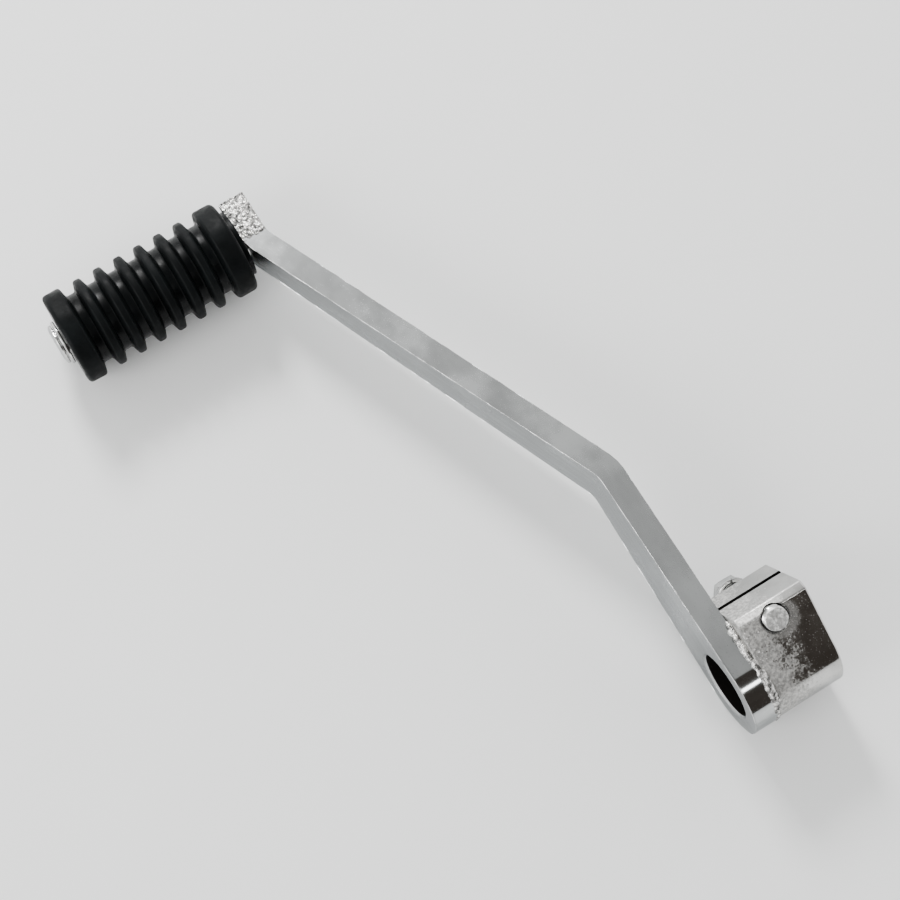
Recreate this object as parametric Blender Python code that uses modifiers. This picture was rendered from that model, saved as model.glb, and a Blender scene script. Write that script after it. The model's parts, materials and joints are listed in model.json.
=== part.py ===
"""Motorcycle gear shift lever: a bent flat steel arm with a turning rubber toe peg at one end and
a split clamp hub, drawn together by a pinch bolt, at the other.

Metres, +Z up, as the lever lies on its side. The origin is on the bore axis, at the hub's inner
end face. +Y runs along the bore towards the engine and +X from the toe peg towards the hub.
"""

import math

import bmesh
import bpy
from mathutils import Matrix

# Clearance between pieces that touch on the real lever.
GAP = 0.0003

# Clamp hub: a barrel with two flat-sided ears, split through to the splined bore.
HUB_LENGTH = 0.018
HUB_RADIUS = 0.0123
EAR_HEIGHT = 0.0166
THREADED_EAR = 0.0123
HEAD_EAR = 0.0104
EAR_BEVEL = 0.0016
EAR_ANGLE = math.radians(152.5)
SLIT_WIDTH = 0.0018
SPLINE_TIP_RADIUS = 0.0057
SPLINE_ROOT_RADIUS = 0.0062
SPLINE_TEETH = 20
WELD_CHAMFER = 0.0025
BARREL_STEPS = 28

# Arm: flat bar on edge, tapering from a round eye on the bore axis to the peg.
ARM_THICKNESS = 0.006
EYE_RADIUS = 0.0126
EYE_HOLE_RADIUS = 0.008
EYE_START = math.radians(-112)  # where the lower edge leaves the eye
EYE_STEPS = 30
HUB_BEND_X = -0.055
PEG_BEND_X = -0.150
SLANT = math.radians(22.5)
BEND_RADIUS = 0.011
BEND_STEPS = 6
TIP_X = -0.162
TIP_TOP, TIP_BOTTOM = 0.0036, -0.0066
TIP_ROUND = 0.0022
TIP_STEPS = 4
BEND_TOP, BEND_BOTTOM = 0.0120, -0.0048
ARM_EDGE = 0.0004

# Toe peg: ribbed rubber that turns on a headed pin.
PEG_X = -0.1525
PEG_Z = -0.0008
RUBBER_LENGTH = 0.0482
RUBBER_RADIUS = 0.0118
RIB_RADIUS = 0.0115
GROOVE_RADIUS = 0.0090
OUTER_FLANGE = 0.0048
INNER_FLANGE = 0.0052
COLLAR_RADIUS = 0.0086
COLLAR_HEIGHT = 0.0015
FLANGE_ROUND = 0.0009
RIB_COUNT = 6
RIB_CREST = 0.0020
RIB_BASE = 0.0036
PIN_RADIUS = 0.004
PEG_WASHER_RADIUS = 0.0056
PEG_WASHER_THICKNESS = 0.0008
PIN_HEAD_RADIUS = 0.0051
PIN_HEAD_HEIGHT = 0.0009
PIN_BEVEL = 0.0003
PLUG_RADIUS = 0.0052
PLUG_FOOT_RADIUS = 0.0042
PLUG_DEPTH = 0.0014
PLUG_BEVEL = 0.0005

# Pinch bolt (M6, 8 mm across flats) with a split spring washer under its head.
BOLT_RADIUS = 0.003
BOLT_HEIGHT = 0.0127
BOLT_FROM_END = 0.0096
BOLT_PROUD = 0.0012
BOLT_CHAMFER = 0.0005
BOLT_ACROSS_FLATS = 0.008
BOLT_HEAD_HEIGHT = 0.0030
SPRING_WASHER_RADIUS = 0.0046
SPRING_WASHER_THICKNESS = 0.0010
SPRING_WASHER_CUT = 0.0008

WELD_BEAD_RADIUS = 0.0007
HUB_BEAD_TOP = 0.0085

# How far a cutter runs past the face it goes through.
PAST = 0.002

# Faces closer to flat than this are one face.
FLAT_ANGLE = math.radians(0.5)
ROUND_STEPS = 40
SMALL_STEPS = 24

# The arm's faces, and where its outer face stands beside the peg.
ARM_INNER_Y = -(HUB_LENGTH + GAP)
ARM_MIDDLE_Y = ARM_INNER_Y - ARM_THICKNESS / 2
PEG_END_MIDDLE_Y = ARM_MIDDLE_Y - (HUB_BEND_X - PEG_BEND_X) * math.tan(SLANT)
PEG_FACE_Y = PEG_END_MIDDLE_Y - ARM_THICKNESS / 2


def clear_scene():
    for obj in list(bpy.data.objects):
        bpy.data.objects.remove(obj)


def new_collection(name, hidden=False):
    collection = bpy.data.collections.new(name)
    collection.hide_render = hidden
    bpy.context.scene.collection.children.link(collection)
    return collection


def material(name, colour, roughness, metallic):
    made = bpy.data.materials.new(name)
    made.use_nodes = True
    made.diffuse_color = (*colour, 1)
    shader = made.node_tree.nodes["Principled BSDF"]
    shader.inputs["Base Color"].default_value = (*colour, 1)
    shader.inputs["Roughness"].default_value = roughness
    shader.inputs["Metallic"].default_value = metallic
    return made


def arc(centre, radius, start, end, steps):
    """Points on an arc from one angle to another, ends included."""
    angles = [start + (end - start) * i / steps for i in range(steps + 1)]
    return [(centre[0] + radius * math.cos(a), centre[1] + radius * math.sin(a)) for a in angles]


def rounded_path(corners, radius, steps):
    """An open path through the corners, with each inner corner rounded to the radius."""
    path = [corners[0]]
    for before, corner, after in zip(corners, corners[1:], corners[2:]):
        heading_in = math.atan2(corner[1] - before[1], corner[0] - before[0])
        heading_out = math.atan2(after[1] - corner[1], after[0] - corner[0])
        turn = heading_out - heading_in
        side = math.copysign(math.pi / 2, turn)
        setback = radius * math.tan(abs(turn) / 2)
        start = (corner[0] - setback * math.cos(heading_in), corner[1] - setback * math.sin(heading_in))
        centre = (
            start[0] + radius * math.cos(heading_in + side),
            start[1] + radius * math.sin(heading_in + side),
        )
        path += arc(centre, radius, heading_in - side, heading_out - side, steps)
    return path + [corners[-1]]


def strip_outline(path, width):
    """The closed outline of a strip of this width along an open path."""
    left, right = [], []
    for i, (x, y) in enumerate(path):
        x0, y0 = path[max(i - 1, 0)]
        x1, y1 = path[min(i + 1, len(path) - 1)]
        heading = math.atan2(y1 - y0, x1 - x0)
        step = (-math.sin(heading) * width / 2, math.cos(heading) * width / 2)
        left.append((x + step[0], y + step[1]))
        right.append((x - step[0], y - step[1]))
    return left + right[::-1]


def add_object(name, data, collection):
    obj = bpy.data.objects.new(name, data)
    collection.objects.link(obj)
    return obj


def as_mesh(curve_object, collection):
    """The curve object made a mesh object of its name and place, its caps welded and flat faces whole."""
    bpy.context.view_layer.update()
    graph = bpy.context.evaluated_depsgraph_get()
    mesh = bpy.data.meshes.new_from_object(curve_object.evaluated_get(graph))
    shape = bmesh.new()
    shape.from_mesh(mesh)
    bmesh.ops.remove_doubles(shape, verts=shape.verts, dist=1e-6)
    bmesh.ops.dissolve_limit(shape, angle_limit=FLAT_ANGLE, verts=shape.verts, edges=shape.edges)
    shape.to_mesh(mesh)
    shape.free()
    name, place = curve_object.name, curve_object.matrix_world.copy()
    bpy.data.objects.remove(curve_object)
    obj = add_object(name, mesh, collection)
    obj.matrix_world = place
    return obj


def plate(name, outline, bottom, top, collection):
    """A closed outline in the local XY plane, filled and extruded from bottom to top along Z."""
    curve = bpy.data.curves.new(name, "CURVE")
    curve.dimensions = "2D"
    curve.fill_mode = "BOTH"
    curve.extrude = (top - bottom) / 2
    spline = curve.splines.new("POLY")
    spline.points.add(len(outline) - 1)
    for point, (x, y) in zip(spline.points, outline):
        point.co = (x, y, 0, 1)
    spline.use_cyclic_u = True
    obj = as_mesh(add_object(name, curve, collection), collection)
    obj.data.transform(Matrix.Translation((0, 0, (top + bottom) / 2)))
    return obj


def turned(name, profile, steps, collection, closed=False):
    """A profile of (radius, height) points, running top to bottom on its outer side, turned about Z."""
    count = len(profile)
    edges = [(i, i + 1) for i in range(count - 1)]
    if closed:
        edges.append((count - 1, 0))
    mesh = bpy.data.meshes.new(name)
    mesh.from_pydata([(r, 0, z) for r, z in profile], edges, [])
    obj = add_object(name, mesh, collection)
    screw = obj.modifiers.new("Turn", "SCREW")
    screw.steps = steps
    screw.render_steps = steps
    screw.use_merge_vertices = True
    screw.merge_threshold = 1e-5
    return obj


def bead(name, path, radius, collection):
    """A round weld bead along a path of 3D points."""
    curve = bpy.data.curves.new(name, "CURVE")
    curve.dimensions = "3D"
    curve.bevel_depth = radius
    curve.bevel_resolution = 2
    curve.use_fill_caps = True
    spline = curve.splines.new("POLY")
    spline.points.add(len(path) - 1)
    for point, place in zip(spline.points, path):
        point.co = (*place, 1)
    return as_mesh(add_object(name, curve, collection), collection)


def cylinder(name, radius, start, end, steps, collection):
    """A cylinder about local Z from one height to another."""
    shape = bmesh.new()
    bmesh.ops.create_cone(
        shape,
        cap_ends=True,
        segments=steps,
        radius1=radius,
        radius2=radius,
        depth=end - start,
        matrix=Matrix.Translation((0, 0, (start + end) / 2)),
    )
    mesh = bpy.data.meshes.new(name)
    shape.to_mesh(mesh)
    shape.free()
    return add_object(name, mesh, collection)


def block(name, low, high, collection):
    """A box between two corners."""
    size = [h - l for l, h in zip(low, high)]
    middle = [(l + h) / 2 for l, h in zip(low, high)]
    shape = bmesh.new()
    bmesh.ops.create_cube(shape, size=1, matrix=Matrix.Translation(middle) @ Matrix.Diagonal((*size, 1)))
    mesh = bpy.data.meshes.new(name)
    shape.to_mesh(mesh)
    shape.free()
    return add_object(name, mesh, collection)


def boolean(obj, other, operation):
    """Applies a Boolean through a modifier; the other solid is kept only as a helper."""
    other.hide_render = True
    other.display_type = "WIRE"
    made = obj.modifiers.new(other.name, "BOOLEAN")
    made.operation = operation
    made.solver = "EXACT"
    made.object = other


def edge_bevel(obj, width, angle):
    made = obj.modifiers.new("Edges", "BEVEL")
    made.width = width
    made.segments = 1
    made.limit_method = "ANGLE"
    made.angle_limit = math.radians(angle)


def empty_axes(name, matrix, collection):
    """An empty that carries pieces which share one axis."""
    empty = add_object(name, None, collection)
    empty.matrix_world = matrix
    empty.empty_display_size = 0.01
    return empty


def attach(obj, parent, location=(0, 0, 0), rotation=(0, 0, 0)):
    obj.parent = parent
    obj.location = location
    obj.rotation_euler = rotation


def finish(obj, look, smooth=True):
    obj.data.materials.clear()
    obj.data.materials.append(look)
    if smooth:
        obj.data.shade_smooth()
        obj.data.set_sharp_from_angle(angle=math.radians(35))


def hub_outline():
    """The hub's section, seen from its outer end: barrel below, ears above."""
    top, bevel = EAR_HEIGHT, EAR_BEVEL
    shoulder = math.pi - math.acos(HEAD_EAR / HUB_RADIUS)
    barrel = arc((0, 0), HUB_RADIUS, 0, shoulder - 2 * math.pi, BARREL_STEPS)[::-1]
    return barrel + [
        (THREADED_EAR, top - bevel),
        (THREADED_EAR - bevel, top),
        (-HEAD_EAR + bevel, top),
        (-HEAD_EAR, top - bevel),
    ]


def spline_outline():
    """The splined bore's section: a trapezoid for each tooth."""
    points = []
    pitch = 2 * math.pi / SPLINE_TEETH
    for tooth in range(SPLINE_TEETH):
        for share, radius in (
            (0.0, SPLINE_TIP_RADIUS),
            (0.3, SPLINE_TIP_RADIUS),
            (0.5, SPLINE_ROOT_RADIUS),
            (0.8, SPLINE_ROOT_RADIUS),
        ):
            angle = (tooth + share) * pitch
            points.append((radius * math.cos(angle), radius * math.sin(angle)))
    return points


def make_arm(parts, helpers, look):
    """The flat bar: its plan, with two bends, trimmed to its tapering side view and round eye."""
    hub_side = HUB_BEND_X - PEG_BEND_X
    centre_line = rounded_path(
        [
            (TIP_X, PEG_END_MIDDLE_Y),
            (PEG_BEND_X, PEG_END_MIDDLE_Y),
            (PEG_BEND_X + hub_side, ARM_MIDDLE_Y),
            (EYE_RADIUS * 1.5, ARM_MIDDLE_Y),
        ],
        BEND_RADIUS,
        BEND_STEPS,
    )
    reach = 2 * EYE_RADIUS
    arm = plate("shift_arm", strip_outline(centre_line, ARM_THICKNESS), -reach, reach, parts)
    upright = Matrix.Rotation(math.pi / 2, 4, "X")

    side = plate("arm_side_view", arm_side_outline(), 0, 0.1, helpers)
    side.matrix_world = upright
    boolean(arm, side, "INTERSECT")
    edge_bevel(arm, ARM_EDGE, 50)

    eye_hole = cylinder("eye_hole", EYE_HOLE_RADIUS, 0, 0.04, ROUND_STEPS, helpers)
    eye_hole.matrix_world = upright
    boolean(arm, eye_hole, "DIFFERENCE")

    pin_hole = cylinder("pin_hole", PIN_RADIUS + GAP, -0.02, 0.01, SMALL_STEPS, helpers)
    pin_hole.matrix_world = Matrix.Translation((PEG_X, PEG_FACE_Y, PEG_Z)) @ upright
    boolean(arm, pin_hole, "DIFFERENCE")

    seat_floor = PLUG_DEPTH + GAP - ARM_THICKNESS
    plug_seat = cylinder(
        "plug_seat", PLUG_RADIUS + GAP, -2 * ARM_THICKNESS, seat_floor, SMALL_STEPS, helpers
    )
    plug_seat.matrix_world = Matrix.Translation((PEG_X, PEG_FACE_Y, PEG_Z)) @ upright
    boolean(arm, plug_seat, "DIFFERENCE")
    finish(arm, look)


def arm_side_outline():
    """The arm seen along the bore: eye, tapering edges and the rounded tip."""
    eye = arc((0, 0), EYE_RADIUS, EYE_START, math.pi / 2, EYE_STEPS)
    corner_x = TIP_X + TIP_ROUND
    tip_top = arc((corner_x, TIP_TOP - TIP_ROUND), TIP_ROUND, math.pi / 2, math.pi, TIP_STEPS)
    tip_bottom = arc(
        (corner_x, TIP_BOTTOM + TIP_ROUND), TIP_ROUND, math.pi, 3 * math.pi / 2, TIP_STEPS
    )
    return eye + [(HUB_BEND_X, BEND_TOP)] + tip_top + tip_bottom + [(HUB_BEND_X, BEND_BOTTOM)]


def make_hub(parts, helpers, axes, look):
    """The clamp hub: section extruded along the bore, then bored, split and cross-drilled."""
    hub = plate("clamp_hub", hub_outline(), 0, HUB_LENGTH, parts)
    shape = bmesh.new()
    shape.from_mesh(hub.data)
    outer_rim = [
        edge
        for edge in shape.edges
        if all(abs(vert.co.z - HUB_LENGTH) < 1e-6 for vert in edge.verts)
        and any(abs(face.normal.z) < 0.5 for face in edge.link_faces)
    ]
    bmesh.ops.bevel(
        shape, geom=outer_rim, offset=WELD_CHAMFER, offset_type="OFFSET", segments=1, affect="EDGES"
    )
    shape.to_mesh(hub.data)
    shape.free()
    attach(hub, axes)

    bore = plate("spline_bore", spline_outline(), -PAST, HUB_LENGTH + PAST, helpers)
    attach(bore, axes)
    boolean(hub, bore, "DIFFERENCE")

    half = SLIT_WIDTH / 2
    slit_low = (-half, SPLINE_TIP_RADIUS / 2, -PAST)
    slit_high = (half, EAR_HEIGHT + PAST, HUB_LENGTH + PAST)
    slit = block("slit", slit_low, slit_high, helpers)
    attach(slit, axes)
    boolean(hub, slit, "DIFFERENCE")

    bolt_hole = cylinder("bolt_hole", BOLT_RADIUS + GAP, -0.02, 0.02, SMALL_STEPS, helpers)
    attach(bolt_hole, axes, (0, BOLT_HEIGHT, BOLT_FROM_END), (0, -math.pi / 2, 0))
    boolean(hub, bolt_hole, "DIFFERENCE")

    seat = cylinder("bolt_seat", SPRING_WASHER_RADIUS + 2 * GAP, HEAD_EAR, 0.02, SMALL_STEPS, helpers)
    attach(seat, axes, (0, BOLT_HEIGHT, BOLT_FROM_END), (0, -math.pi / 2, 0))
    boolean(hub, seat, "DIFFERENCE")
    finish(hub, look)


def make_hub_weld(parts, axes, look):
    """The weld bead in the groove between the arm and the hub's chamfered outer end."""
    proud = math.sqrt(2) * (WELD_BEAD_RADIUS + GAP) - WELD_CHAMFER + WELD_BEAD_RADIUS
    level = HUB_LENGTH - WELD_BEAD_RADIUS
    radius = HUB_RADIUS + proud
    path = [(THREADED_EAR + proud, HUB_BEAD_TOP, level)]
    path += [(x, y, level) for x, y in arc((0, 0), radius, 0, -math.pi, 24)]
    made = bead("hub_weld", path, WELD_BEAD_RADIUS, parts)
    attach(made, axes)
    finish(made, look)


def rubber_profile():
    """The toe rubber's section round its bore: a flange, ribs, a flange and a collar at the arm."""
    bore = PIN_RADIUS + GAP
    top, bottom = RUBBER_LENGTH + GAP, GAP + COLLAR_HEIGHT
    profile = [(bore, top)]
    profile += [(r, z) for r, z in arc(
        (RUBBER_RADIUS - FLANGE_ROUND, top - FLANGE_ROUND), FLANGE_ROUND, math.pi / 2, 0, 3
    )]
    profile.append((RUBBER_RADIUS, top - OUTER_FLANGE))
    ribs_top, ribs_bottom = top - OUTER_FLANGE, bottom + INNER_FLANGE
    pitch = (ribs_top - ribs_bottom + RIB_CREST) / (RIB_COUNT + 1)
    slope = (RIB_BASE - RIB_CREST) / 2
    profile.append((GROOVE_RADIUS, ribs_top - slope))
    for rib in range(RIB_COUNT):
        middle = ribs_top + RIB_CREST / 2 - pitch * (rib + 1)
        profile += [
            (GROOVE_RADIUS, middle + RIB_BASE / 2),
            (RIB_RADIUS, middle + RIB_CREST / 2),
            (RIB_RADIUS, middle - RIB_CREST / 2),
            (GROOVE_RADIUS, middle - RIB_BASE / 2),
        ]
    profile.append((GROOVE_RADIUS, ribs_bottom + slope))
    profile.append((RUBBER_RADIUS, ribs_bottom))
    profile += arc(
        (RUBBER_RADIUS - FLANGE_ROUND, bottom + FLANGE_ROUND), FLANGE_ROUND, 0, -math.pi / 2, 3
    )
    profile += [(COLLAR_RADIUS, bottom), (COLLAR_RADIUS, GAP), (bore, GAP)]
    return profile


def make_peg(parts, axes, steel, weld, rubber):
    """The toe peg: headed pin through the arm, its weld, the rubber and the washer that keeps it."""
    washer_bottom = RUBBER_LENGTH + 2 * GAP
    washer_top = washer_bottom + PEG_WASHER_THICKNESS
    head_bottom = washer_top + GAP
    head_top = head_bottom + PIN_HEAD_HEIGHT
    stub = PLUG_DEPTH + GAP - ARM_THICKNESS

    pin = turned(
        "peg_pin",
        [
            (0, head_top),
            (PIN_HEAD_RADIUS - PIN_BEVEL, head_top),
            (PIN_HEAD_RADIUS, head_top - PIN_BEVEL),
            (PIN_HEAD_RADIUS, head_bottom),
            (PIN_RADIUS, head_bottom),
            (PIN_RADIUS, stub + PIN_BEVEL),
            (PIN_RADIUS - PIN_BEVEL, stub),
            (0, stub),
        ],
        SMALL_STEPS,
        parts,
    )
    washer = turned(
        "peg_washer",
        [
            (PIN_RADIUS + GAP, washer_top),
            (PEG_WASHER_RADIUS, washer_top),
            (PEG_WASHER_RADIUS, washer_bottom),
            (PIN_RADIUS + GAP, washer_bottom),
        ],
        SMALL_STEPS,
        parts,
        closed=True,
    )
    sleeve = turned("toe_rubber", rubber_profile(), ROUND_STEPS, parts, closed=True)
    face = -ARM_THICKNESS
    plug = turned(
        "peg_weld",
        [
            (0, face + PLUG_DEPTH),
            (PLUG_RADIUS, face + PLUG_DEPTH),
            (PLUG_RADIUS, face + PLUG_BEVEL),
            (PLUG_FOOT_RADIUS, face),
            (0, face),
        ],
        SMALL_STEPS,
        parts,
    )
    for piece, look in ((pin, steel), (washer, steel), (sleeve, rubber), (plug, weld)):
        attach(piece, axes)
        finish(piece, look)


def make_bolt(parts, helpers, axes, look):
    """The pinch bolt: plain shank, chamfered tip and hexagon head, on the clamp's cross axis."""
    head_bottom = HEAD_EAR + SPRING_WASHER_THICKNESS + 2 * GAP
    head_top = head_bottom + BOLT_HEAD_HEIGHT
    tip = -(THREADED_EAR + BOLT_PROUD)
    bolt = turned(
        "pinch_bolt",
        [
            (0, head_bottom + BOLT_HEAD_HEIGHT / 2),
            (BOLT_RADIUS, head_bottom + BOLT_HEAD_HEIGHT / 2),
            (BOLT_RADIUS, tip + BOLT_CHAMFER),
            (BOLT_RADIUS - BOLT_CHAMFER, tip),
            (0, tip),
        ],
        SMALL_STEPS,
        parts,
    )
    corner_radius = BOLT_ACROSS_FLATS / math.sqrt(3)
    head = cylinder("hexagon_head", corner_radius, head_bottom, head_top, 6, helpers)
    boolean(bolt, head, "UNION")
    place = ((0, BOLT_HEIGHT, BOLT_FROM_END), (0, -math.pi / 2, 0))
    attach(bolt, axes, *place)
    attach(head, axes, *place)
    finish(bolt, look)


def make_spring_washer(parts, helpers, axes, look):
    """The split washer between the bolt's head and the plain ear."""
    bottom = HEAD_EAR + GAP
    top = bottom + SPRING_WASHER_THICKNESS
    inner = BOLT_RADIUS + GAP
    washer = turned(
        "spring_washer",
        [(inner, top), (SPRING_WASHER_RADIUS, top), (SPRING_WASHER_RADIUS, bottom), (inner, bottom)],
        SMALL_STEPS,
        parts,
        closed=True,
    )
    half = SPRING_WASHER_CUT / 2
    cut = block("washer_cut", (0, -half, bottom - 0.001), (0.01, half, top + 0.001), helpers)
    boolean(washer, cut, "DIFFERENCE")
    place = ((0, BOLT_HEIGHT, BOLT_FROM_END), (0, -math.pi / 2, 0))
    attach(washer, axes, *place)
    attach(cut, axes, *place)
    finish(washer, look)


def main():
    clear_scene()
    parts = new_collection("gear_shift_lever")
    helpers = new_collection("cutters", hidden=True)
    plated = material("zinc_plated_steel", (0.55, 0.56, 0.56), 0.3, 1.0)
    bright = material("bright_plated_steel", (0.62, 0.62, 0.62), 0.18, 1.0)
    bead_metal = material("plated_weld", (0.5, 0.5, 0.48), 0.45, 1.0)
    black_rubber = material("black_rubber", (0.025, 0.027, 0.028), 0.7, 0.0)

    upright = Matrix.Rotation(math.pi / 2, 4, "X")
    clamp_axes = empty_axes("clamp_axes", upright @ Matrix.Rotation(EAR_ANGLE - math.pi / 2, 4, "Z"), parts)
    peg_axes = empty_axes("peg_axes", Matrix.Translation((PEG_X, PEG_FACE_Y, PEG_Z)) @ upright, parts)

    make_arm(parts, helpers, plated)
    make_hub(parts, helpers, clamp_axes, plated)
    make_hub_weld(parts, clamp_axes, bead_metal)
    make_peg(parts, peg_axes, bright, bead_metal, black_rubber)
    make_bolt(parts, helpers, clamp_axes, bright)
    make_spring_washer(parts, helpers, clamp_axes, bright)


main()
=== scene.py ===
"""Motorcycle gear shift lever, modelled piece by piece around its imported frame.

Metres, +Z up, the lever lying flat: +Y runs along the hub's bore towards the engine and +X from
the toe peg towards the hub. The origin is on the bore axis, at the hub's inner end.
"""

import json
import math
from contextlib import contextmanager

import bmesh
import bpy
from bpy.props import FloatProperty, FloatVectorProperty, IntProperty, PointerProperty
from mathutils import Matrix, Vector, noise


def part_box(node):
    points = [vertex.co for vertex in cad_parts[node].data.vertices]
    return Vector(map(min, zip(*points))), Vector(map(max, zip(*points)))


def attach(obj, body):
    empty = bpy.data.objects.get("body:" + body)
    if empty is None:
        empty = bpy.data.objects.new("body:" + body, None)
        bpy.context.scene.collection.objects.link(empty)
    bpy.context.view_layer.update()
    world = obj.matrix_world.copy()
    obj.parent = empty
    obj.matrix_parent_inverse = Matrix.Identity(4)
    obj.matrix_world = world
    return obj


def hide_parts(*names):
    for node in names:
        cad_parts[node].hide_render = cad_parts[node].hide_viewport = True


bl_info = {
    "name": "Gear shift lever",
    "version": (1, 0, 0),
    "blender": (4, 5, 0),
    "location": "View3D > Sidebar > Gear lever",
    "description": "Models a plated gear shift lever with its clamp hub, welds and toe rubber",
    "category": "Add Mesh",
}

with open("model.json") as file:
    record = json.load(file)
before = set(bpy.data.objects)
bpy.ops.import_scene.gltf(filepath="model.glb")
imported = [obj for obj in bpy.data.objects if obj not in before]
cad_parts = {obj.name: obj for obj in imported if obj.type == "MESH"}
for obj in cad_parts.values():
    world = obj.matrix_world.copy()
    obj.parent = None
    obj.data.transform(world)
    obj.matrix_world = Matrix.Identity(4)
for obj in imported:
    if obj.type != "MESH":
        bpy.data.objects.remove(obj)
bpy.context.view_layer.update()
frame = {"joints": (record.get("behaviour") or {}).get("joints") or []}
joints = {joint["name"]: joint for joint in frame["joints"]}

# ---- Places and sizes read from the frame -------------------------------------------------------

FLOOR_Z = min(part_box("shift_arm")[0].z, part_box("toe_rubber")[0].z)
ARM_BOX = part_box("shift_arm")
EYE_RADIUS = ARM_BOX[1].z
TIP_X = ARM_BOX[0].x
ARM_INNER_Y = ARM_BOX[1].y
HUB_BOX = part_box("clamp_hub")
HUB_LENGTH = -HUB_BOX[0].y
PEG_PLACE = Vector(joints["rubber_turn"]["pos_m"])
BOLT_PLACE = Vector(joints["bolt_turn"]["pos_m"])
BOLT_AXIS = Vector(joints["bolt_turn"]["axis"])

# Hub axes: W out of the threaded cheek, U up between the ears, and the third away from the engine.
CHEEK = -BOLT_AXIS
EARS = CHEEK.cross(Vector((0, 1, 0)))
HUB_AXES = Matrix((CHEEK, EARS, (0, -1, 0))).transposed().to_4x4()
BOLT_HEIGHT = BOLT_PLACE.dot(EARS)
BOLT_AXES = Matrix.Translation(BOLT_PLACE) @ Matrix((EARS, (0, 1, 0), BOLT_AXIS)).transposed().to_4x4()
PEG_AXES = Matrix.Translation(PEG_PLACE) @ Matrix.Rotation(math.pi / 2, 4, "X")

# Arm: thickness, bends and side view.
ARM_THICKNESS = 0.006
ARM_MIDDLE_Y = ARM_INNER_Y - ARM_THICKNESS / 2
HUB_BEND_X, PEG_BEND_X = -0.055, -0.150
SLANT = math.radians(22.5)
BEND_RADIUS = 0.011
BEND_TOP, BEND_BOTTOM = 0.0120, -0.0048
TIP_TOP, TIP_BOTTOM, TIP_ROUND = 0.0036, -0.0066, 0.0022
EYE_START = math.radians(-112)
PEG_END_Y = ARM_MIDDLE_Y - (HUB_BEND_X - PEG_BEND_X) * math.tan(SLANT)
EYE_FLARE = 0.0006
CUT_SPACING = 0.0009
EYE_CUT_DEGREES = 3.0

# Hub section: the barrel, the ears and how far out the head's ear stands, the splines and the slit.
HUB_RADIUS = 0.0123
EAR_HEIGHT = 0.0166
HEAD_EAR = 0.0104
EAR_BEVEL = 0.0016
SPLINE_TEETH = 20
SPLINE_TIP, SPLINE_ROOT = 0.0057, 0.0062
SLIT_FLOOR = 0.003
BOLT_HOLE, BOLT_HOLE_FLARE = 0.0033, 0.00045

# Welds: where the hub's bead starts and how far round it goes, the tip's pad, and the plug.
BEAD_START_X = -0.0112
BEAD_TURN = math.radians(215)
BEAD_RIPPLES = 24
PAD_LENGTH, PAD_DEPTH = 0.0138, 0.0024
PLUG_RADIUS, PLUG_DEPTH = 0.0052, 0.0012

# Pinch bolt, along its axis from the slit's middle: its tip, its washer and its head.
BOLT_RADIUS = 0.003
BOLT_TIP = -0.0135
THREAD_LENGTH, THREAD_DEPTH = 0.0145, 0.00055
WASHER_LOW, WASHER_HIGH = 0.0107, 0.0117
HEAD_LOW, HEAD_HIGH = 0.0120, 0.0150
HEAD_FLATS = 0.008

# Steps round a turned piece, round the rubber and round the hub's barrel.
TURNED_STEPS = 96
GRIP_STEPS = 144
BARREL_STEPS = 110

# Colours that several finishes share, and how much wear and painted highlight the bar's outer and inner
# edges get.
STEEL_TINT = (0.60, 0.61, 0.62, 1)
WORN_EDGE_AND_HIGHLIGHT = (0.95, 0.95, 0.94, 1)
# Near black: painted shade on the walls of the slit and of the eye's hole.
PAINTED_SHADE_DARK = (0.012, 0.011, 0.010, 1)
OUTER_WEAR_AND_HIGHLIGHT, INNER_WEAR_AND_HIGHLIGHT = 1.0, 0.3

# Stage: what the camera looks at and from where, in degrees and metres, and the surroundings.
VIEW_MIDDLE = Vector((-0.0807, -0.0481, 0))
VIEW_AZIMUTH, VIEW_ELEVATION, VIEW_DISTANCE = 58.35, 73.7, 0.491
VIEW_LENS = 83.3
ROOM_STRENGTH = 1.85
ROOM_PALE = (1.0, 1.005, 1.01, 1)
ROOM_OVERHEAD = (0.42, 0.425, 0.42, 1)
ROOM_ZENITH = (0.32, 0.322, 0.318, 1)
ROOM_DARK = (0.035, 0.030, 0.026, 1)
# Dark places in the surroundings: (direction, cosine where it starts, cosine where it is full).
DARK_PLACES = (((0.90, 0.20, 0.38), 0.85, 0.90), ((0.25, 0.20, 0.94), 0.985, 0.993))


# ---- Settings a user would change ---------------------------------------------------------------


class LeverShape(bpy.types.PropertyGroup):
    """Sizes of the lever's surface detail."""

    eye_hole: FloatProperty(
        name="Eye hole", description="Radius of the arm's hole over the shaft", default=0.008, unit="LENGTH"
    )
    arm_edge: FloatProperty(
        name="Arm edge", description="Rounding of the flat bar's edges", default=0.0007, unit="LENGTH"
    )
    edge_nicks: FloatProperty(
        name="Edge nicks", description="How far the bar's edges wander", default=0.00026, unit="LENGTH"
    )
    slit: FloatProperty(
        name="Slit", description="Width of the clamp's slit", default=0.0018, unit="LENGTH"
    )
    weld_radius: FloatProperty(
        name="Weld bead", description="Radius of the bead round the hub", default=0.0012, unit="LENGTH"
    )
    spatter: IntProperty(name="Spatter", description="Weld spatter beads by the hub", default=70, min=0)
    rib_count: IntProperty(name="Ribs", description="Ribs between the rubber's flanges", default=6, min=1)
    groove_radius: FloatProperty(
        name="Groove", description="Radius at the floor of the rubber's grooves", default=0.009,
        unit="LENGTH",
    )
    thread_pitch: FloatProperty(
        name="Pitch", description="Pitch of the pinch bolt's thread", default=0.001, unit="LENGTH"
    )


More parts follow.
